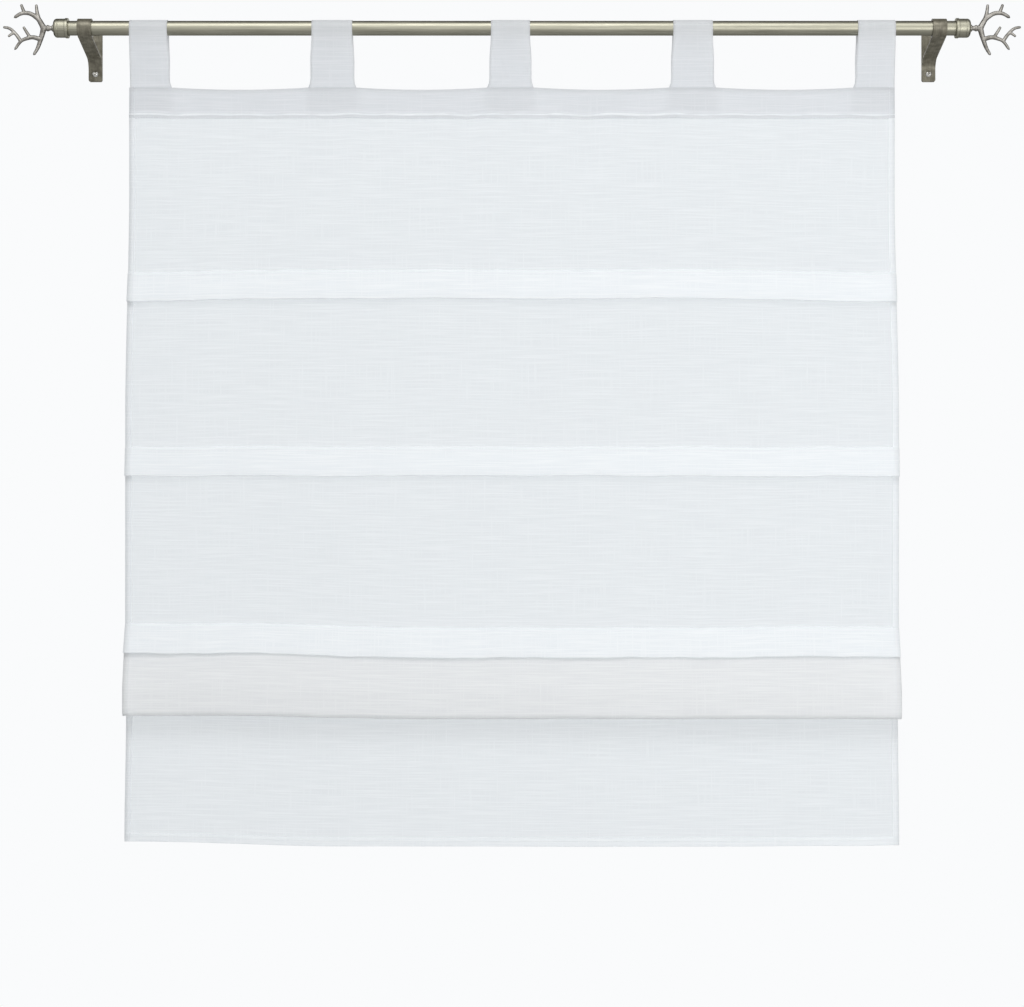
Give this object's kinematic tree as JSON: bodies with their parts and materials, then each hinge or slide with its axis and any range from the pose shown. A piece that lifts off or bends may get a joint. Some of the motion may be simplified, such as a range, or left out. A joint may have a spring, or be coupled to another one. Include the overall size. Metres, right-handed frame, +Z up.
{
  "type": "sheer curtain",
  "caption": "White voile tab-top sheer curtain with sewn tucks and a raised fold, hung on a brushed metal rod with turned end caps, antler-shaped finials and wall brackets.",
  "frame": {"origin": "middle of the four wall screws, on the wall plane behind the back plates", "axes": "+X along the rod to the viewer's right, +Y out of the back into the wall, +Z up; the curtain's front faces -Y"},
  "size_m": [1.3252, 0.1275, 1.097],
  "materials": {
    "satin_nickel": "brushed along the rod, satin, warm nickel tone",
    "cast_silver": "cast, soft satin, silver grey",
    "dark_pewter": "satin, dark pewter",
    "screw_steel": "plain zinc",
    "voile": "sheer plain weave, cool white",
    "clear_plastic": "clear moulded plastic"
  },
  "bodies": {
    "rod_set": {"rod_tube": "satin_nickel", "end_cap_left": "satin_nickel", "end_cap_right": "satin_nickel", "antler_finial_left": "cast_silver", "antler_finial_right": "cast_silver", "bracket_left": "dark_pewter", "bracket_right": "dark_pewter", "wall_screws": "screw_steel", "lock_screws": "screw_steel"},
    "curtain": {"voile_panel": "voile", "header_facing": "voile", "tab_1": "voile", "tab_2": "voile", "tab_3": "voile", "tab_4": "voile", "tab_5": "voile", "lift_rings": "clear_plastic"}
  },
  "joints": [
    {"name": "curtain_slide", "type": "slide", "parent": "rod_set", "child": "curtain", "axis": [1, 0, 0], "range_m": [-0.045, 0.045]}
  ]
}
